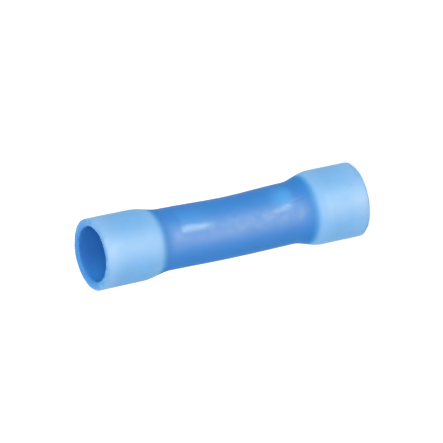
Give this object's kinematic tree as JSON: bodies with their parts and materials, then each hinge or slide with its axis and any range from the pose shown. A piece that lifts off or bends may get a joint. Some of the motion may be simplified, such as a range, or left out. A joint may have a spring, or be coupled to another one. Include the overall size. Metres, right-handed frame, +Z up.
{
  "type": "butt splice connector",
  "caption": "Insulated butt splice connector: a tinned copper crimp barrel with a middle wire stop in a blue nylon sleeve with flared wire mouths.",
  "frame": {"origin": "centre of the lower rim, on the surface that the connector stands on", "axes": "+Z up along the connector's axis, from the wider lower flare to the upper flare"},
  "size_m": [0.0066, 0.0066, 0.026],
  "materials": {
    "blue_nylon": "milky blue nylon with a soft satin sheen",
    "tinned_copper": "electro-tinned copper, bright but not polished"
  },
  "bodies": {
    "root": {"insulating_sleeve": "blue_nylon", "crimp_barrel": "tinned_copper"}
  },
  "joints": []
}
